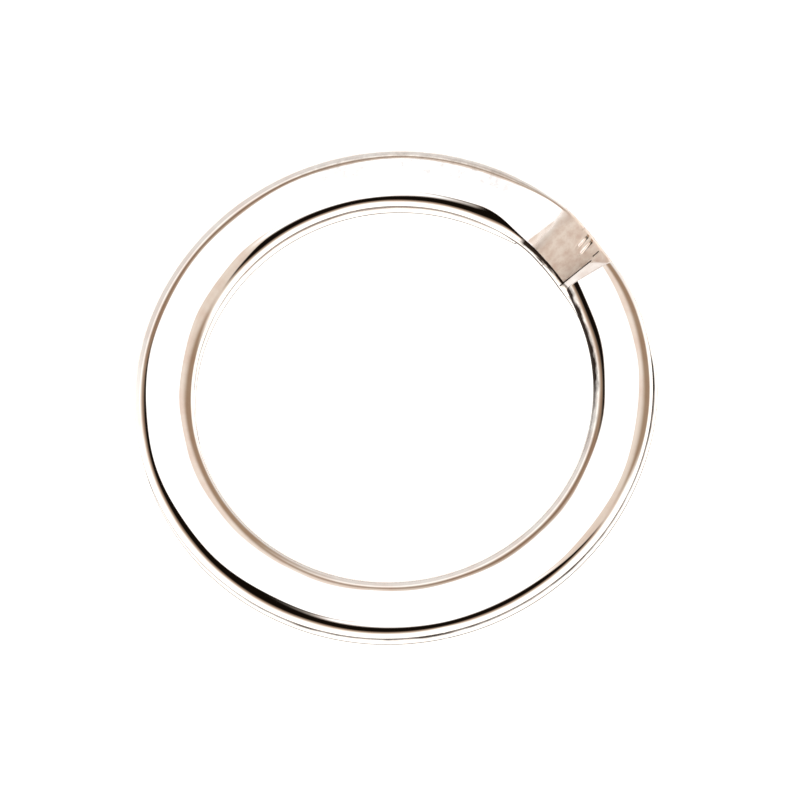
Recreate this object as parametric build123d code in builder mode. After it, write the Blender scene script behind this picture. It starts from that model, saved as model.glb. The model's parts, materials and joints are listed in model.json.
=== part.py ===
from build123d import *
import os
from math import asin, atan, cos, degrees, radians, sin, tan

# A flat split key ring: one flat-pressed spring wire wound in two turns that lie
# face to face. Seen from above, the upper coil runs anticlockwise from the top
# of the crossover ramp all the way round to its cut tip, which stands just past
# the foot of the ramp. The lower coil is the same shape turned half a turn about X.
# The wire is one piece of steel. It is divided here into short stretches, because
# it springs open, and each stretch is what stays straight between two bends.
# Millimetres. The origin is the ring's centre, halfway up its thickness. +Z is up
# and +X points at the middle of the crossover.

# The ring and its wire
outer_diameter = 30.0
face_width = 3.45  # of the pressed wire, seen from above
wire_thickness = 0.96
inner_shoulder_width = 1.0  # how far the wire's rounded inner side reaches onto its face
outer_shoulder_width = 0.85
coil_gap = 0.06  # between the coils at rest

# The crossover, where the wire steps from the upper layer down to the lower one
ramp_run = 3.2  # along the wire, between the corners of the step
ramp_bend_radius = 1.2  # of the wire's middle at each corner
ramp_level_end = 0.1  # straight and level, between the bend and the round coil

# The cut tips
tip_clearance = 0.95  # from the near corner of the step to the cut
tip_taper_length = 3.0
tip_inner_taper = 0.18  # taken off the inner edge at the cut
tip_outer_taper = 0.10  # taken off the outer edge at the cut
tip_chamfer = 0.06

# Where the coil flexes
stretch_angle = 45
rigid_angle = 180  # the stretches up to here stay with the crossover
bend_slit = 0.03  # between two stretches that turn against each other
taper_stations = 4

mean_radius = (outer_diameter - face_width) / 2
layer_height = (wire_thickness + coil_gap) / 2
ramp_slope = atan(2 * layer_height / ramp_run)
ramp_half = ramp_run / 2 + ramp_bend_radius * tan(ramp_slope / 2) + ramp_level_end
ramp_end_angle = degrees(asin(ramp_half / mean_radius))
tip_angle = 360 - degrees((ramp_run / 2 + tip_clearance) / mean_radius)
taper_angle = degrees(tip_taper_length / mean_radius)
half_slit_angle = degrees(bend_slit / 2 / mean_radius)


def coil_plane(angle):
    # Square across the upper coil at an angle: local x points outward, local y up
    outward = (cos(radians(angle)), sin(radians(angle)), 0)
    backward = (sin(radians(angle)), -cos(radians(angle)), 0)
    middle = (mean_radius * outward[0], mean_radius * outward[1], layer_height)
    return Plane(origin=middle, x_dir=outward, z_dir=backward)


def wire_section(plane, inner_taper=0.0, outer_taper=0.0):
    # Flat above and below, with half an ellipse for each side
    outer = face_width / 2 - outer_taper - outer_shoulder_width
    inner = -(face_width / 2 - inner_taper - inner_shoulder_width)
    top = wire_thickness / 2
    with BuildSketch(plane) as section:
        with BuildLine():
            Line((inner, -top), (outer, -top))
            EllipticalCenterArc((outer, 0), outer_shoulder_width, top, -90, arc_size=180)
            Line((outer, top), (inner, top))
            EllipticalCenterArc((inner, 0), inner_shoulder_width, top, 90, arc_size=180)
        make_face()
    return section.sketch


def save(part, name):
    part.label = name
    export_step(part, f"parts/{name}.step")


def save_both_coils(upper, name):
    # The lower coil's stretch is the upper one's turned half a turn about X
    save(upper, f"upper_coil_{name}")
    with BuildPart() as lower:
        add(upper, rotation=(180, 0, 0))
    save(lower.part, f"lower_coil_{name}")


os.makedirs("parts", exist_ok=True)

# The crossover is straight seen from above, and is cut where the round coils begin
ramp_x = mean_radius * cos(radians(ramp_end_angle))
ramp_overrun = face_width * sin(radians(ramp_end_angle))
ramp_start = Plane(
    origin=(ramp_x, ramp_half + ramp_overrun, layer_height),
    x_dir=(1, 0, 0),
    z_dir=(0, -1, 0),
)
ramp_section = wire_section(ramp_start)
with BuildPart() as crossover:
    with BuildLine() as ramp_path:
        FilletPolyline(
            ramp_start.origin,
            (ramp_x, ramp_run / 2, layer_height),
            (ramp_x, -ramp_run / 2, -layer_height),
            (ramp_x, -ramp_half - ramp_overrun, -layer_height),
            radius=ramp_bend_radius,
        )
    sweep(ramp_section, path=ramp_path.wire())
    split(bisect_by=coil_plane(ramp_end_angle), keep=Keep.TOP)
    split(bisect_by=coil_plane(-ramp_end_angle), keep=Keep.BOTTOM)
save(crossover.part, "crossover_ramp")

# The round stretches, from the ramp to the one before the tip
full_stretches = 360 // stretch_angle - 1
for number in range(1, full_stretches + 1):
    start = (number - 1) * stretch_angle
    end = number * stretch_angle
    if start == 0:
        start = ramp_end_angle
    if start >= rigid_angle:
        start += half_slit_angle
    if end >= rigid_angle:
        end -= half_slit_angle
    stretch_section = wire_section(coil_plane(start))
    with BuildPart() as stretch:
        revolve(stretch_section, axis=Axis.Z, revolution_arc=end - start)
    save_both_coils(stretch.part, f"stretch_{number}")

# The last stretch narrows a little towards the cut
tip_start = full_stretches * stretch_angle + half_slit_angle
taper_start = tip_angle - taper_angle
tip_section = wire_section(coil_plane(tip_start))
taper_sections = []
for station in range(taper_stations):
    along = station / (taper_stations - 1)
    plane = coil_plane(taper_start + along * taper_angle)
    narrowed = along**2
    taper_sections.append(
        wire_section(plane, tip_inner_taper * narrowed, tip_outer_taper * narrowed)
    )
with BuildPart() as tip:
    revolve(tip_section, axis=Axis.Z, revolution_arc=taper_start - tip_start)
    loft(taper_sections)
    cut_face = tip.faces().sort_by_distance(coil_plane(tip_angle).origin)[0]
    chamfer(cut_face.edges(), tip_chamfer)
save_both_coils(tip.part, "tip")
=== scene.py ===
import json
import math
import bpy
import numpy as np
from mathutils import Matrix, Vector

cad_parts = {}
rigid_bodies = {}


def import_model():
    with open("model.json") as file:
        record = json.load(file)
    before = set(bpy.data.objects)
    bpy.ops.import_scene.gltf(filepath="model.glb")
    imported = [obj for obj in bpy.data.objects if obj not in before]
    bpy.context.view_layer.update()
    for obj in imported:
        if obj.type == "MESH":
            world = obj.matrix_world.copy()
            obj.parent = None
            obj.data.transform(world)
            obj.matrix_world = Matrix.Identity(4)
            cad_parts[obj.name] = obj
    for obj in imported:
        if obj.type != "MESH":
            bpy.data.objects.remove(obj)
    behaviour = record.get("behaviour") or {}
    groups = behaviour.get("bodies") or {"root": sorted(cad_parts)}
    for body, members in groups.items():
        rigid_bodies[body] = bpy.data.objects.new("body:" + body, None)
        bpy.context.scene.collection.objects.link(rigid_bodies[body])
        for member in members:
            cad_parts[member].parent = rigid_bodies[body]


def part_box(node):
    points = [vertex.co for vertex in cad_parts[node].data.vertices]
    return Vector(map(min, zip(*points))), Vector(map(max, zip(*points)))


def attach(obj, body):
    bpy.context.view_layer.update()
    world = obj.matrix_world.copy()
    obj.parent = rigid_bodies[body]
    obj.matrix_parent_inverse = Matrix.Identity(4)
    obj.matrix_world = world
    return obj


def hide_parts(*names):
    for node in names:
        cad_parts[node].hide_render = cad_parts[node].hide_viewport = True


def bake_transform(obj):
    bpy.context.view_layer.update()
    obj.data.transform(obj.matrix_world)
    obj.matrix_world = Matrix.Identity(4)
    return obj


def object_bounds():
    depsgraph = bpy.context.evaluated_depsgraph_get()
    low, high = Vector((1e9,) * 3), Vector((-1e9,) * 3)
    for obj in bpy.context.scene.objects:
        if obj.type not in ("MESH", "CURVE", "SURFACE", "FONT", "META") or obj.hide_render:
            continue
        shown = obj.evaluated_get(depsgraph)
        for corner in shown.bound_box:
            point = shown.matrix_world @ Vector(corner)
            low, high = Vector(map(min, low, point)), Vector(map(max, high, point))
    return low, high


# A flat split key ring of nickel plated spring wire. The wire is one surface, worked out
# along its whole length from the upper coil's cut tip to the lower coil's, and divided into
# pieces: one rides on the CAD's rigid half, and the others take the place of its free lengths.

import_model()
cadLow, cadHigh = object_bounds()
mm = 0.001
coilLow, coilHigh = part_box("upper_coil_stretch_2")
outerRadius = coilHigh.y
wireThickness = coilHigh.z - coilLow.z
layerHeight = (coilHigh.z + coilLow.z) / 2
print("frame loaded, outer radius %.2f mm" % (outerRadius / mm))

# lengths in mm, the CAD's own except where a note says so
wire = {
    "faceWidth": 3.45,
    "innerShoulder": 1.0,
    "outerShoulder": 0.85,
    "rampRun": 3.2,
    "rampBendRadius": 1.2,
    "rampLevelEnd": 0.1,
    "headBendRadius": (2.0, 3.2),  # at the outer and inner side, softer than the CAD's
    "footBendRadius": 0.7,  # sharper than the CAD's
    "headNearer": (0.60, 0.45),  # how much nearer the foot the head's bend is, outer and inner side
    "pressedShoulder": 0.36,  # the shoulder's width where the press flattened the ramp
    "pressedReach": (0.8, 3.0),  # where that width starts to grow and is whole, in ramp ends
    "lowerStandsOut": 0.22,  # the lower coil is not quite round after the ramp's foot
    "standsOutAt": (-38, 22),  # degrees, the middle of that place and how far it reaches
    "tipClearance": 0.95,
    "tipTaperLength": 3.0,
    "tipInnerTaper": 0.18,
    "tipOuterTaper": 0.10,
    "tipRounding": 0.08,
    "roundingRows": 7,
    "flatColumns": 28,  # across each flat face
    "shoulderColumns": 30,  # round each side, an even number
    "coilRowSpacing": 0.14,
    "rampRowSpacing": 0.03,
    "sideWander": 0.010,  # how far a side strays from its true circle
    "faceWander": 0.0012,  # how far a face strays from flat
    "outerShoulderWander": 0.098,  # share by which the shoulder's width varies
    "innerShoulderWander": 0.07,
}

# how each of them strays: waves in a turn, phase, share
wavesOf = {
    "side": ((2, 0.4, 1), (5, 1.9, 0.6), (11, 4.0, 0.4)),
    "face": ((7, 1.1, 1), (17, 2.7, 0.8), (31, 0.3, 0.6)),
    "outerShoulder": ((3, 2.6, 1), (13, 0.7, 0.5)),
    "innerShoulder": ((4, 1.2, 1), (15, 3.1, 0.6)),
}

faceWidth = wire["faceWidth"] * mm
innerShoulder, outerShoulder = wire["innerShoulder"] * mm, wire["outerShoulder"] * mm
innerFlat, outerFlat = innerShoulder - faceWidth / 2, faceWidth / 2 - outerShoulder
meanRadius = outerRadius - faceWidth / 2
rampCorner = wire["rampRun"] * mm / 2
rampSlope = math.atan(layerHeight / rampCorner)
bendReach = wire["rampBendRadius"] * mm * math.tan(rampSlope / 2)
rampEnd = math.asin((rampCorner + bendReach + wire["rampLevelEnd"] * mm) / meanRadius)
tipAngle = 2 * math.pi - (rampCorner + wire["tipClearance"] * mm) / meanRadius
taperAngle = wire["tipTaperLength"] * mm / meanRadius

# Marks in the upper face of the ramp: along and across are mm from the ramp's middle and the
# wire's middle, from and to, and then its width and depth. A groove is darkened with painted
# shade. A nick is a facet that the tool left leaning back by its lean, so that it lies level and shines.
marks = {
    "foot crease": ((-1.72, -1.62), (-1.75, 0.62), 0.075, 0.020, 0),
    "upper nick": ((-0.50, -0.36), (0.34, 1.28), 0.075, 0, 0.385),
    "lower nick": ((-0.86, -0.64), (0.22, 1.30), 0.085, 0, 0.385),
    "short groove": ((-1.36, -1.30), (0.55, 0.95), 0.035, 0.005, 0),
}
markFade = 0.12  # the share of a mark's length over which each end fades out


def wireOutline():
    # Once round the wire's section, from the inner end of the top face, outwards: two flat
    # faces joined by half an ellipse at each side. Returns the points and outward normals.
    halfThick = wireThickness / 2
    flat = np.linspace(innerFlat, outerFlat, wire["flatColumns"], endpoint=False)
    turn = np.linspace(0, math.pi, wire["shoulderColumns"], endpoint=False)
    sideU, sideV = np.sin(turn), np.cos(turn)
    back = innerFlat + outerFlat - flat
    u = np.concatenate([flat, outerFlat + outerShoulder * sideU, back, innerFlat - innerShoulder * sideU])
    v = np.concatenate([flat * 0 + halfThick, halfThick * sideV, flat * 0 - halfThick, -halfThick * sideV])
    nu = np.concatenate([flat * 0, sideU / outerShoulder, flat * 0, -sideU / innerShoulder])
    nv = np.concatenate([flat * 0 + 1, sideV, flat * 0 - 1, -sideV]) / halfThick
    size = np.hypot(nu, nv)
    return u, v, nu / size, nv / size


def rampHeight(y, lateral):
    # The wire's middle at a distance along the ramp, and its slope there: level, a round
    # bend, straight, a round bend, level. The head's bend lies nearer the foot than the
    # CAD's, and a little askew.
    share = np.clip(0.5 - lateral / faceWidth, 0, 1)
    outerNearer, innerNearer = wire["headNearer"]
    headCorner = rampCorner - (outerNearer + (innerNearer - outerNearer) * share) * mm
    half = (headCorner + rampCorner) / 2
    fromMiddle = y - (headCorner - rampCorner) / 2
    steepest = np.arctan(layerHeight / half)
    outerRadiusThere, innerRadiusThere = wire["headBendRadius"]
    headRadius = outerRadiusThere + (innerRadiusThere - outerRadiusThere) * share
    bendRadius = np.where(fromMiddle > 0, headRadius, wire["footBendRadius"]) * mm
    past = half + bendRadius * np.tan(steepest / 2) - np.abs(fromMiddle)
    slope = np.arcsin(np.clip(past / bendRadius, 0, np.sin(steepest)))
    onBend = layerHeight - bendRadius * (1 - np.cos(slope))
    onStraight = np.abs(fromMiddle) * np.tan(steepest)
    height = np.where(past > bendRadius * np.sin(steepest), onStraight, onBend)
    return np.sign(fromMiddle) * height, slope


def waves(name, angle):
    # a few slow sines of the angle, added up
    return sum(share * np.sin(count * angle + phase) for count, phase, share in wavesOf[name])


def markHeights(along, across):
    # Each mark lies about a straight line: its share falls off with the distance from the
    # line as a flat topped bell, and fades out over its last part at both ends. Returns the
    # depth, and how far each point is inside the shining ones and the grooves with painted shade.
    depth, shares = 0, {"bright": 0, "grooveShade": 0}
    for (alongFrom, alongTo), (acrossFrom, acrossTo), width, markDepth, lean in marks.values():
        share = (across / mm - acrossFrom) / (acrossTo - acrossFrom)
        away = along / mm - (alongFrom + share * (alongTo - alongFrom))
        fade = np.clip(share / markFade, 0, 1) * np.clip((1 - share) / markFade, 0, 1)
        inside = np.exp(-((away / width) ** 4)) * fade * fade * (3 - 2 * fade)
        depth = depth + (markDepth + lean * away) * mm * inside
        look = "bright" if lean else "grooveShade"
        shares[look] = np.maximum(shares[look], inside)
    return depth, shares


def wirePoint(angle, inset, outline):
    # Angle runs once round for each coil: positive on the upper coil and negative on the
    # lower, with the ramp's middle at 0. Seen from above a point is the outline's u outwards
    # of the circle, which the ramp follows too, where the CAD's is straight. Its height is
    # the ramp's, and the outline's v stands square to the slope there.
    u, v, nu, nv = outline
    angle, inset = angle[:, None], inset[:, None]
    toTip = np.clip((np.abs(angle) - (tipAngle - taperAngle)) / taperAngle, 0, 1) ** 2
    sideWander = waves("side", angle) * wire["sideWander"] * mm / 2
    faceWander = waves("face", angle) * wire["faceWander"] * mm / 2
    # the lower coil stands out by a bell about a place just past the ramp's foot
    bellMiddle, bellReach = wire["standsOutAt"]
    bell = np.exp(-(((np.degrees(angle) - bellMiddle) / bellReach) ** 2)) * (angle < 0)
    # where the ramp is pressed, the flats reach further out and the shoulders are narrower
    pressedWhole, pressedGone = wire["pressedReach"]
    pressed = np.clip((pressedGone - np.abs(angle) / rampEnd) / (pressedGone - pressedWhole), 0, 1)
    pressed = pressed * pressed * (3 - 2 * pressed)
    flatEnd = np.where(u < 0, -innerFlat, outerFlat)
    outerVaries = waves("outerShoulder", angle) * wire["outerShoulderWander"]
    innerVaries = waves("innerShoulder", angle) * wire["innerShoulderWander"]
    wide = (faceWidth / 2 - flatEnd) * (1 + np.where(u < 0, innerVaries, outerVaries))
    narrow = wide + (wire["pressedShoulder"] * mm - wide) * pressed
    beyondFlat = np.clip(np.abs(u) - flatEnd, 0, None) / (faceWidth / 2 - flatEnd) * narrow
    onFlat = np.minimum(np.abs(u), flatEnd) / flatEnd * (faceWidth / 2 - narrow)
    pressedU = np.sign(u) * (onFlat + beyondFlat)
    taper = np.where(u < 0, wire["tipInnerTaper"], -wire["tipOuterTaper"]) * mm * toTip
    atSide = np.clip(np.abs(pressedU) / (faceWidth / 2), 0, 1)
    lateral = pressedU - inset * nu + (taper + sideWander) * atSide + bell * wire["lowerStandsOut"] * mm
    # only the two faces stray up and down, where the normal is nearly upright
    rise = v - inset * nv + np.where(np.abs(nv) > 0.9, faceWander * np.sign(v), 0)
    rise = rise - np.where(v > 0, markHeights(angle * meanRadius, lateral)[0], 0) * nv
    radius = meanRadius + lateral
    height, slope = rampHeight(radius * np.sin(np.clip(angle, -1, 1)), lateral)
    y = radius * np.sin(angle) - rise * np.sin(slope)
    return np.stack([radius * np.cos(angle), y, height + rise * np.cos(slope)], -1)


def rowAngles(start, end):
    # evenly spaced rows, closer together on the ramp
    if start < 0 < end:
        parts = [(start, -rampEnd, "coil"), (-rampEnd, rampEnd, "ramp"), (rampEnd, end, "coil")]
    else:
        parts = [(start, end, "coil")]
    rows = []
    for low, high, kind in parts:
        count = int(round((high - low) * meanRadius / (wire[kind + "RowSpacing"] * mm)))
        rows.append(np.linspace(low, high, count + 1)[:-1])
    return np.concatenate(rows + [[end]])


def wirePiece(name, start, end, cutEnd=None):
    # The wire between two angles as a closed mesh: the outline carried along the wire, with
    # a flat cap at each end. At the cut end the last rows draw in as a quarter circle.
    if cutEnd is None:
        angle = rowAngles(start, end)
        inset = angle * 0
    else:
        rounding = wire["tipRounding"] * mm
        turn = np.linspace(0, math.pi / 2, wire["roundingRows"])
        back = rounding * (1 - np.sin(turn)) / meanRadius
        drawnIn = rounding * (1 - np.cos(turn))
        if cutEnd == end:
            rows = rowAngles(start, end - back[0])
            angle = np.concatenate([rows[:-1], end - back])
            inset = np.concatenate([rows[:-1] * 0, drawnIn])
        else:
            rows = rowAngles(start + back[0], end)
            angle = np.concatenate([(start + back)[::-1], rows[1:]])
            inset = np.concatenate([drawnIn[::-1], rows[1:] * 0])
    outline = wireOutline()
    rowCount, columns = len(angle), len(outline[0])
    points = wirePoint(angle, inset, outline)

    # normals from the whole wire's slopes, so that two pieces agree where they meet
    step = 2e-5  # radians, short beside any row
    alongWire = wirePoint(angle + step, inset, outline) - wirePoint(angle - step, inset, outline)
    roundWire = np.roll(points, -1, axis=1) - np.roll(points, 1, axis=1)
    normals = np.cross(roundWire, alongWire)
    normals /= np.linalg.norm(normals, axis=2, keepdims=True)
    drawn = inset > 0
    if drawn.any():
        outward = np.sign(cutEnd) * np.array([-math.sin(cutEnd), math.cos(cutEnd), 0])
        lean = (np.arcsin(np.clip(1 - inset / rounding, 0, 1)))[:, None, None]
        normals = np.where(drawn[:, None, None], normals * np.sin(lean) + outward * np.cos(lean), normals)

    row, column = np.meshgrid(np.arange(rowCount - 1), np.arange(columns), indexing="ij")
    here, beside = row * columns + column, row * columns + (column + 1) % columns
    sides = np.stack([here, beside, beside + columns, here + columns], -1).reshape(-1, 4)
    # a cap is a ladder of rungs from the inner side to the outer, joining top to bottom
    flats, shoulders = wire["flatColumns"], wire["shoulderColumns"]
    upper = (2 * flats + 3 * shoulders // 2 + np.arange(columns // 2 + 1)) % columns
    lower = (2 * flats + shoulders - upper) % columns
    firstCap = np.stack([upper[:-1], upper[1:], lower[1:], lower[:-1]], -1)
    lastCap = firstCap[:, ::-1] + (rowCount - 1) * columns
    startNormal = [math.sin(start), -math.cos(start), 0]
    endNormal = [-math.sin(end), math.cos(end), 0]
    faces = [list(dict.fromkeys(f)) for f in np.concatenate([sides, firstCap, lastCap]).tolist()]

    mesh = bpy.data.meshes.new(name)
    mesh.from_pydata(points.reshape(-1, 3), [], faces)
    mesh.shade_smooth()
    # the rims of the caps are sharp edges
    ends = np.zeros(len(mesh.edges) * 2, np.int64)
    mesh.edges.foreach_get("vertices", ends)
    rowOf = ends.reshape(-1, 2) // columns
    atEnd = (rowOf[:, 0] == rowOf[:, 1]) & ((rowOf[:, 0] == 0) | (rowOf[:, 0] == rowCount - 1))
    mesh.attributes.new("sharp_edge", "BOOLEAN", "EDGE").data.foreach_set("value", atEnd)
    corners = np.zeros(len(mesh.loops), np.int64)
    mesh.loops.foreach_get("vertex_index", corners)
    cornerNormals = normals.reshape(-1, 3)[corners]
    capCorners = sum(len(f) for f in faces[len(sides) : len(sides) + len(firstCap)])
    sideCorners = 4 * len(sides)
    cornerNormals[sideCorners : sideCorners + capCorners] = startNormal
    cornerNormals[sideCorners + capCorners :] = endNormal
    mesh.normals_split_custom_set(cornerNormals)

    # where each point is on the wire: mm along it, across it and up through it
    place = np.zeros((rowCount, columns, 3))
    place[..., 0] = (angle * meanRadius / mm)[:, None]
    place[..., 1], place[..., 2] = outline[0] / mm, outline[1] / mm
    marked = markHeights(place[..., 0] * mm, place[..., 1] * mm)[1]
    # the shares of the shining nicks and of the grooves darkened with painted shade
    for look, inside in marked.items():
        onTop = inside * (place[..., 2] > 0)
        mesh.attributes.new(look + "Mark", "FLOAT", "POINT").data.foreach_set("value", onTop.ravel())
    mesh.attributes.new("wirePlace", "FLOAT_VECTOR", "POINT").data.foreach_set("vector", place.ravel())
    piece = bpy.data.objects.new(name, mesh)
    bpy.context.scene.collection.objects.link(piece)
    mesh.materials.append(nickelPlate)
    if cutEnd is not None:
        mesh.materials.append(shearedEnd)
        slots = np.zeros(len(faces), np.int32)
        firstCapFace = len(sides) if cutEnd == start else len(faces) - len(lastCap)
        slots[firstCapFace : firstCapFace + len(firstCap)] = 1
        mesh.polygons.foreach_set("material_index", slots)
    return piece


def toLinear(hexColour):
    # sRGB hex to linear red, green, blue and a full alpha
    value = np.array([int(hexColour[i : i + 2], 16) for i in (1, 3, 5)]) / 255
    linear = np.where(value <= 0.04045, value / 12.92, ((value + 0.055) / 1.055) ** 2.4)
    return [float(c) for c in linear] + [1]


def node(tree, kind, links=None, **settings):
    # adds a shader node, and links or fills its inputs by name or number
    made = tree.nodes.new("ShaderNode" + kind)
    for key, value in settings.items():
        setattr(made, key, value)
    for key, value in (links or {}).items():
        if isinstance(value, bpy.types.NodeSocket):
            tree.links.new(value, made.inputs[key])
        else:
            made.inputs[key].default_value = value
    return made


def newMaterial(name):
    material = bpy.data.materials.new(name)
    material.use_nodes = True
    tree = material.node_tree
    tree.nodes.clear()
    return material, tree


# Bright nickel, electroplated on rolled spring steel. The eye gets a warm mirror with slow
# waves from rolling, faint drawn lines along the wire, and a duller face where the press
# set the ramp. Painted shade darkens the gap between the coils and the ramp's grooves.
nickel = {
    "colour": "#ECE7E2",
    "warmPatches": "#E6DAD3",
    "rampColour": "#F9EEE4",
    "rampPatches": "#E6D2C4",
    "rampRoughness": 0.60,
    "hazeColour": "#CFC7C1",
    "hazeRoughness": 0.16,
    "nickRoughness": 0.12,
    "paintedGapShade": "#2B211B",  # painted shade: the colour that darkens the gap between the coils and the ramp's grooves
    "paintedShadeRoughness": 0.5,
    "rampRaggedness": 0.9,  # mm, how far noise moves the edges of the looks
    "footRaggedness": 0.3,
    "paintedShadeRaggedness": 0.16,
    "shadeStreakRaggedness": 0.5,
    "creaseRaggedness": 0.8,
    "coveredPast": 2.75,  # mm from the ramp's middle, where the other coil lies close
    "shadeStreakInnerPast": -1.3,  # mm across
    "lineDepth": 0.00006,  # mm
    "peelDepth": 0.00045,
    "pressDepth": 0.006,
}

# Noises on the wire: their fineness in waves to a mm, their stretch along, across and up,
# detail and roughness. Lines are really 0.02 mm apart, and drawn at 0.09 to show.
nickelNoises = {
    "edge": (1.4, (1, 1, 1), 3, 0.5),
    "patches": (1 / 1.6, (1, 1, 1), 4, 0.6),
    "rampPatches": (2.6, (1, 1, 1), 5, 0.62),
    "paintedShade": (1.6, (0.35, 1, 1), 4, 0.5),
    "lines": (1 / 0.09, (0.05, 1, 1), 3, 0.5),
    "peel": (1 / 0.55, (1, 1, 1), 2, 0.5),
    "press": (3, (2.2, 0.8, 1), 5, 0.65),
}

# Shares: what each follows, in mm or as a noise, between which two values, and what it is
# at the first and at the second.
nickelShares = {
    "onTop": ("up", 0.20, 0.40, 0, 1),
    "footLine": ("across", 0.25, 1.25, -1.62, -2.6),  # mm along, the pressed face runs on at the outer side
    "tipStrip": ("along", -2.95, -2.75, 0, 0.5),  # half as dull between the foot and the cut tip
    "patchy": ("patches", 0.40, 0.65, 0, 1),
    "sheen": ("patches", 0.35, 0.70, 0.02, 0.06),  # roughness
    "rampPatchy": ("rampPatches", 0.38, 0.66, 0, 1),
    "hazeFrom": ("along", 2.2, 5.0, 0, 1),
    "hazeTo": ("along", 19.0, 14.0, 0, 1),
    "hazeSide": ("across", -0.5, 0.4, 0, 1),
    "paintedShadeThinner": ("across", -1.2, 1.2, 0.4, 1),
    "byRamp": ("fromMiddle", 2.1, 1.7, 0, 1),
    "byTip": ("along", 68.0, 74.0, 0, 1),
    "rampInner": ("across", -0.78, -0.86, 0, 1),
    "nick": ("brightMark", 0.25, 0.60, 0, 1),
}


def nickelMaterial():
    material, tree = newMaterial("bright_nickel_plate_on_rolled_wire")
    place = node(tree, "Attribute", attribute_name="wirePlace").outputs["Vector"]
    apart = node(tree, "SeparateXYZ", {0: place})
    along, across, up = (apart.outputs[axis] for axis in "XYZ")
    fromMiddle = node(tree, "Math", {0: along}, operation="ABSOLUTE").outputs[0]
    follows = {"along": along, "across": across, "up": up, "fromMiddle": fromMiddle}
    for mark in ("brightMark", "grooveShadeMark"):
        follows[mark] = node(tree, "Attribute", attribute_name=mark).outputs["Fac"]
    for name, (perMm, stretch, detail, roughness) in nickelNoises.items():
        stretched = node(tree, "VectorMath", {0: place, 1: stretch}, operation="MULTIPLY").outputs[0]
        links = {"Vector": stretched, "Scale": perMm, "Detail": detail, "Roughness": roughness}
        follows[name] = node(tree, "TexNoise", links).outputs["Fac"]
    shares = {}
    for name, (source, start, end, atStart, atEnd) in nickelShares.items():
        links = {"Value": follows[source], "From Min": start, "From Max": end}
        links.update({"To Min": atStart, "To Max": atEnd})
        shares[name] = node(tree, "MapRange", links).outputs[0]

    # how much a point is on the pressed top face of the ramp: above, up to a ragged edge
    links = {0: follows["edge"], 1: nickel["rampRaggedness"], 2: fromMiddle}
    ragged = node(tree, "Math", links, operation="MULTIPLY_ADD").outputs[0]
    links = {"Value": ragged, "From Min": 2.1, "From Max": 1.05}
    nearRamp = node(tree, "MapRange", links, interpolation_type="SMOOTHSTEP").outputs[0]
    # and below, down to the foot, or at the outer side on to the cut tip
    pastFoot = node(tree, "Math", {0: along, 1: shares["footLine"]}, operation="SUBTRACT").outputs[0]
    links = {0: follows["edge"], 1: nickel["footRaggedness"], 2: pastFoot}
    pastFoot = node(tree, "Math", links, operation="MULTIPLY_ADD").outputs[0]
    aboveFoot = node(tree, "MapRange", {"Value": pastFoot, "From Min": 0.06, "From Max": 0.22}).outputs[0]
    aboveFoot = node(tree, "Math", {0: aboveFoot, 1: shares["tipStrip"]}, operation="MAXIMUM").outputs[0]
    onLower = node(tree, "Math", {0: along, 1: 0.0}, operation="LESS_THAN").outputs[0]
    nearRamp = node(tree, "Mix", {0: onLower, 2: nearRamp, 3: aboveFoot}, data_type="FLOAT").outputs[0]
    pressed = node(tree, "Math", {0: nearRamp, 1: shares["onTop"]}, operation="MULTIPLY").outputs[0]

    # a handled, hazy length of the upper face
    haze = shares["hazeFrom"]
    for share in ("hazeTo", "hazeSide", "onTop", "rampPatchy"):
        haze = node(tree, "Math", {0: haze, 1: shares[share]}, operation="MULTIPLY").outputs[0]

    # painted shade where a side turns in to the other coil, below on the upper and above on the lower: the
    # gap between the coils darkened
    coilSign = node(tree, "Math", {0: along}, operation="SIGN").outputs[0]
    inward = node(tree, "Math", {0: up, 1: coilSign}, operation="MULTIPLY").outputs[0]
    links = {0: follows["paintedShade"], 1: nickel["paintedShadeRaggedness"], 2: inward}
    inward = node(tree, "Math", links, operation="MULTIPLY_ADD").outputs[0]
    paintedShade = node(tree, "MapRange", {"Value": inward, "From Min": -0.16, "From Max": -0.24}).outputs[0]
    links = {0: fromMiddle, 1: nickel["coveredPast"]}
    covered = node(tree, "Math", links, operation="GREATER_THAN").outputs[0]
    for share in (covered, shares["paintedShadeThinner"]):
        paintedShade = node(tree, "Math", {0: paintedShade, 1: share}, operation="MULTIPLY").outputs[0]
    # the same painted shade in streaks, low on the inner side by the upper tip, and high on the ramp's
    links = {0: follows["paintedShade"], 1: nickel["shadeStreakRaggedness"], 2: up}
    streaks = node(tree, "Math", links, operation="MULTIPLY_ADD").outputs[0]
    low = node(tree, "MapRange", {"Value": streaks, "From Min": 0.62, "From Max": 0.50}).outputs[0]
    high = node(tree, "MapRange", {"Value": streaks, "From Min": 0.56, "From Max": 0.64}).outputs[0]
    onInner = node(tree, "Math", {0: across, 1: nickel["shadeStreakInnerPast"]}, operation="LESS_THAN").outputs[0]
    lowByTip, highByRamp = (shares["byTip"], low, onInner), (shares["byRamp"], shares["rampInner"], high)
    for first, second, third in (lowByTip, highByRamp):
        shadeStreak = node(tree, "Math", {0: first, 1: second}, operation="MULTIPLY").outputs[0]
        shadeStreak = node(tree, "Math", {0: shadeStreak, 1: third}, operation="MULTIPLY").outputs[0]
        paintedShade = node(tree, "Math", {0: paintedShade, 1: shadeStreak}, operation="MAXIMUM").outputs[0]
    # the ramp's grooves darkened with the same painted shade
    links = {0: follows["edge"], 1: nickel["creaseRaggedness"], 2: follows["grooveShadeMark"]}
    grooveShade = node(tree, "Math", links, operation="MULTIPLY_ADD").outputs[0]
    grooveShade = node(tree, "MapRange", {"Value": grooveShade, "From Min": 0.85, "From Max": 1.1}).outputs[0]
    paintedShade = node(tree, "Math", {0: paintedShade, 1: grooveShade}, operation="MAXIMUM").outputs[0]

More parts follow.
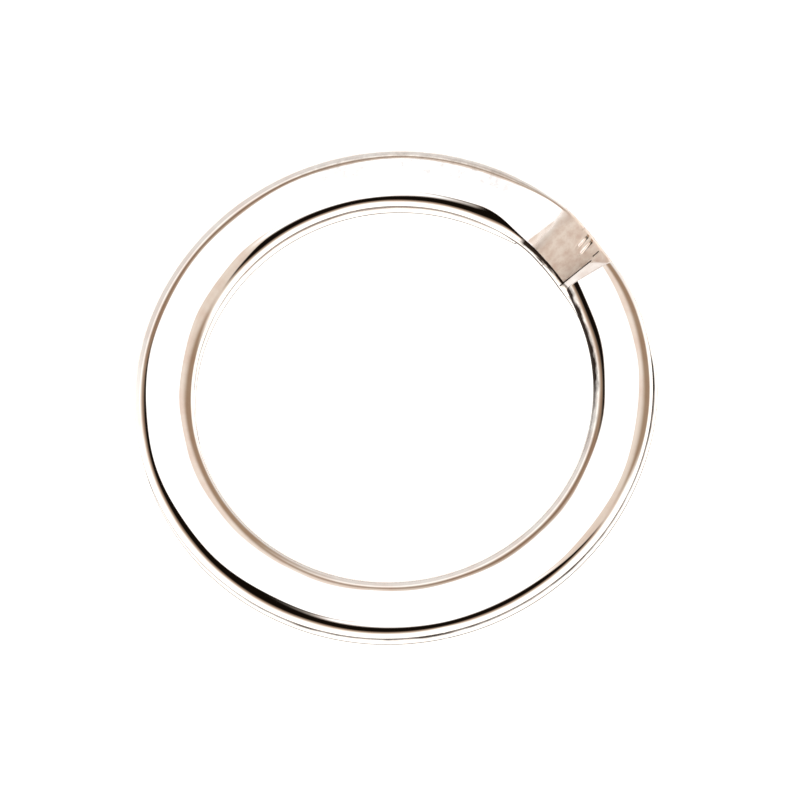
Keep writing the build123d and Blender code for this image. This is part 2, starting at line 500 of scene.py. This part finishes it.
    # each look lies over the ones before it
    links = {0: shares["rampPatchy"], 6: toLinear(nickel["rampColour"]), 7: toLinear(nickel["rampPatches"])}
    rampColour = node(tree, "Mix", links, data_type="RGBA").outputs[2]
    colour = toLinear(nickel["colour"])
    for share, over in (
        (shares["patchy"], toLinear(nickel["warmPatches"])),
        (pressed, rampColour),
        (haze, toLinear(nickel["hazeColour"])),
        (paintedShade, toLinear(nickel["paintedGapShade"])),
    ):
        colour = node(tree, "Mix", {0: share, 6: colour, 7: over}, data_type="RGBA").outputs[2]
    rough = shares["sheen"]
    for share, over in (
        (pressed, nickel["rampRoughness"]),
        (haze, nickel["hazeRoughness"]),
        (shares["nick"], nickel["nickRoughness"]),
        (paintedShade, nickel["paintedShadeRoughness"]),
    ):
        rough = node(tree, "Mix", {0: share, 2: rough, 3: over}, data_type="FLOAT").outputs[0]

    pressHeight = node(tree, "Math", {0: follows["press"], 1: pressed}, operation="MULTIPLY").outputs[0]
    normal = {}
    for height, depth in (
        (follows["lines"], "lineDepth"),
        (follows["peel"], "peelDepth"),
        (pressHeight, "pressDepth"),
    ):
        links = {"Height": height, "Distance": nickel[depth] * mm, "Strength": 1.0, **normal}
        normal = {"Normal": node(tree, "Bump", links).outputs[0]}
    links = {"Base Color": colour, "Metallic": 1.0, "Roughness": rough, **normal}
    shader = node(tree, "BsdfPrincipled", links)
    node(tree, "OutputMaterial", {"Surface": shader.outputs[0]})
    return material


# The cut ends, sheared after plating: bare spring steel with the upper half burnished by
# the blade and the lower half torn.
sheared = {
    "burnished": "#C9C3BC",
    "torn": "#8F877E",
    "roughness": (0.2, 0.5),
    "grainSize": 0.06,  # mm
    "grainDepth": 0.004,  # mm
    "tearRaggedness": 0.3,  # mm
    "tearHeight": (0.05, 0.3),  # mm up, torn below the first and burnished above the second
}


def shearedMaterial():
    material, tree = newMaterial("sheared_spring_steel_end")
    place = node(tree, "Attribute", attribute_name="wirePlace").outputs["Vector"]
    up = node(tree, "SeparateXYZ", {0: place}).outputs["Z"]
    links = {"Vector": place, "Scale": 1 / sheared["grainSize"], "Detail": 4.0}
    grain = node(tree, "TexNoise", links).outputs["Fac"]
    links = {0: grain, 1: sheared["tearRaggedness"], 2: up}
    uneven = node(tree, "Math", links, operation="MULTIPLY_ADD").outputs[0]
    tornBelow, burnishedAbove = sheared["tearHeight"]
    links = {"Value": uneven, "From Min": burnishedAbove, "From Max": tornBelow}
    torn = node(tree, "MapRange", links).outputs[0]
    links = {0: torn, 6: toLinear(sheared["burnished"]), 7: toLinear(sheared["torn"])}
    colour = node(tree, "Mix", links, data_type="RGBA").outputs[2]
    links = {"Value": torn, "To Min": sheared["roughness"][0], "To Max": sheared["roughness"][1]}
    rough = node(tree, "MapRange", links).outputs[0]
    bump = node(tree, "Bump", {"Height": grain, "Distance": sheared["grainDepth"] * mm})
    links = {"Base Color": colour, "Metallic": 1.0, "Roughness": rough, "Normal": bump.outputs[0]}
    shader = node(tree, "BsdfPrincipled", links)
    node(tree, "OutputMaterial", {"Surface": shader.outputs[0]})
    return material


nickelPlate = nickelMaterial()
shearedEnd = shearedMaterial()
print("materials ready")

# the rigid half: the ramp and the first half turn of each coil
springAngle = math.radians(180)
rigid = wirePiece("wire_rigid_half", -springAngle, springAngle)
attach(rigid, "rigid_half")
rigidStretches = [coil + "_coil_stretch_%d" % i for coil in ("upper", "lower") for i in range(1, 5)]
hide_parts("crossover_ramp", *rigidStretches)

# the free half of each coil, four lengths, each taking the place of its CAD node
hinges = [math.radians(a) for a in (180, 225, 270, 315)] + [tipAngle]
lengths = ["spring_1", "spring_2", "spring_3", "free_end"]
replacedNodes = ["stretch_5", "stretch_6", "stretch_7", "tip"]
for side, coil in ((1, "upper"), (-1, "lower")):
    for i, part in enumerate(lengths):
        low, high = sorted((side * hinges[i], side * hinges[i + 1]))
        cut = side * tipAngle if part == "free_end" else None
        piece = wirePiece("wire_%s_%s" % (coil, part), low, high, cut)
        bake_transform(piece)
        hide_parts(coil + "_coil_" + replacedNodes[i])
wireFaces = sum(len(o.data.polygons) for o in bpy.data.objects if o.name.startswith("wire_"))
print("wire built, %d faces" % wireFaces)

# the studio, directions in degrees: turn is round from straight beyond the ring to the right,
# and rise is up from level. Colours are as they show in the nickel.
studio = {
    "cameraTurn": -31.0,
    "cameraRise": 69.25,
    "cameraRoll": -11.95,
    "distance": 0.5,
    "frameWidth": 46.2,  # mm at the ring
    "aimAcross": 0.3465,  # mm, the ring sits a little up and left of the middle
    "aimUp": -0.254,
    "sensor": 36.0,
    "floorDrop": 2.4,  # mm below the ring, room for the lower tip to be pried down
    "floorColour": "#F4F2EF",
    "floorGlow": 0.75,  # a lit table, which takes away the shadow
    "floorHalfSize": 1.5,  # m
    "floorSteps": 9,
}
cards = [
    # turn, rise, half width, half height, soft edge of each, colour, strength
    ("walls", 0, 0, 180, 90, 1, 1, "#FFFAF3", 1.45),
    ("ceiling", 0, 62, 180, 22, 9, 10, "#E4D3C3", 1.0),
    ("far wall", 0, 47, 46, 7, 14, 7, "#8A6F58", 1.0),
    ("far table", 0, 5, 60, 28, 20, 6, "#E6DFD8", 1.0),
    ("right wall", 62, 38, 40, 20, 12, 10, "#A0866E", 1.0),
    ("brown under the camera", -135, 54, 112, 5, 6, 6, "#9A7E66", 1.0),
    ("camera and hands", -138, 68, 112, 12, 4, 4, "#120C07", 1.0),
    ("table under", 0, -90, 180, 45, 1, 4, "#7A716A", 1.0),
    ("softbox spill", 26, 60, 24, 12, 12, 7, "#F2E2D4", 1.0),
    ("overhead softbox", 0, 90, 180, 9, 1, 2, "#FFFFFF", 1.30),
    ("softbox", -2, 69, 22, 11, 3, 2, "#FFFFFF", 1.30),
]


def studioWorld():
    # each card covers what is before it, inside a rectangle of turn and rise with soft edges
    world = bpy.data.worlds.new("studio")
    bpy.context.scene.world = world
    world.use_nodes = True
    tree = world.node_tree
    tree.nodes.clear()
    turn = math.radians(studio["cameraTurn"])
    direction = node(tree, "TexCoord").outputs["Generated"]
    beyondRight = []
    for axis in ((-math.sin(turn), math.cos(turn), 0), (math.cos(turn), math.sin(turn), 0)):
        part = node(tree, "VectorMath", {0: direction, 1: axis}, operation="DOT_PRODUCT")
        beyondRight.append(part.outputs["Value"])
    height = node(tree, "SeparateXYZ", {0: direction}).outputs["Z"]
    azimuth = node(tree, "Math", {0: beyondRight[1], 1: beyondRight[0]}, operation="ARCTAN2").outputs[0]
    azimuth = node(tree, "Math", {0: azimuth}, operation="DEGREES").outputs[0]
    elevation = node(tree, "Math", {0: height}, operation="ARCSINE").outputs[0]
    elevation = node(tree, "Math", {0: elevation}, operation="DEGREES").outputs[0]
    colour = None
    for name, cardTurn, rise, halfWidth, halfHeight, softTurn, softRise, hexColour, strength in cards:
        asSeen, ofNickel = toLinear(hexColour)[:3], toLinear(nickel["colour"])[:3]
        lit = [strength * c / n for c, n in zip(asSeen, ofNickel)] + [1]
        if colour is None:
            colour = lit
            continue
        aside = node(tree, "Math", {0: azimuth, 1: cardTurn}, operation="SUBTRACT").outputs[0]
        aside = node(tree, "Math", {0: aside, 1: -180.0, 2: 180.0}, operation="WRAP").outputs[0]
        above = node(tree, "Math", {0: elevation, 1: rise}, operation="SUBTRACT").outputs[0]
        masks = []
        for offset, half, soft in ((aside, halfWidth, softTurn), (above, halfHeight, softRise)):
            offset = node(tree, "Math", {0: offset}, operation="ABSOLUTE").outputs[0]
            links = {"Value": offset, "From Min": half + soft, "From Max": half - soft}
            masks.append(node(tree, "MapRange", links, interpolation_type="SMOOTHSTEP").outputs[0])
        mask = node(tree, "Math", {0: masks[0], 1: masks[1]}, operation="MULTIPLY").outputs[0]
        mixed = node(tree, "Mix", {0: mask, 6: colour, 7: lit}, data_type="RGBA", label=name)
        colour = mixed.outputs[2]
    background = node(tree, "Background", {"Color": colour, "Strength": 1.0})
    node(tree, "OutputWorld", {"Surface": background.outputs[0]})


def studioFloor():
    # a flat square grid, its points from -1 to 1 each way times its half size
    halfSize, steps = studio["floorHalfSize"], studio["floorSteps"]
    line = np.linspace(-halfSize, halfSize, steps)
    x, y = np.meshgrid(line, line, indexing="xy")
    points = np.stack([x, y, x * 0 + cadLow.z - studio["floorDrop"] * mm], -1).reshape(-1, 3)
    row, column = np.meshgrid(np.arange(steps - 1), np.arange(steps - 1), indexing="ij")
    here = (row * steps + column).ravel()
    mesh = bpy.data.meshes.new("studio_floor")
    mesh.from_pydata(points, [], np.stack([here, here + 1, here + 1 + steps, here + steps], -1).tolist())
    floor = bpy.data.objects.new("studio_floor", mesh)
    bpy.context.scene.collection.objects.link(floor)
    material, tree = newMaterial("matt_white_table")
    white, glow = toLinear(studio["floorColour"]), studio["floorGlow"]
    links = {"Base Color": white, "Roughness": 0.9, "Emission Color": white, "Emission Strength": glow}
    shader = node(tree, "BsdfPrincipled", links)
    node(tree, "OutputMaterial", {"Surface": shader.outputs[0]})
    mesh.materials.append(material)
    floor.visible_glossy = False  # the nickel reflects the cards below level instead


def studioCamera():
    turn, rise, roll = (math.radians(studio[k]) for k in ("cameraTurn", "cameraRise", "cameraRoll"))
    toCamera = Vector((math.sin(turn) * math.cos(rise), -math.cos(turn) * math.cos(rise), math.sin(rise)))
    levelRight = Vector((math.cos(turn), math.sin(turn), 0))
    levelUp = toCamera.cross(levelRight)
    right = levelRight * math.cos(roll) + levelUp * math.sin(roll)
    up = levelUp * math.cos(roll) - levelRight * math.sin(roll)
    data = bpy.data.cameras.new("camera")
    data.sensor_width = studio["sensor"]
    data.lens = studio["sensor"] * studio["distance"] / (studio["frameWidth"] * mm)
    data.clip_start, data.clip_end = 0.01, 20
    camera = bpy.data.objects.new("camera", data)
    place = toCamera * studio["distance"] + right * studio["aimAcross"] * mm + up * studio["aimUp"] * mm
    camera.matrix_world = Matrix.Translation(place) @ Matrix((right, up, toCamera)).transposed().to_4x4()
    bpy.context.scene.collection.objects.link(camera)
    bpy.context.scene.camera = camera


studioWorld()
studioFloor()
studioCamera()
bpy.context.scene.view_settings.view_transform = "Standard"
print("studio ready")
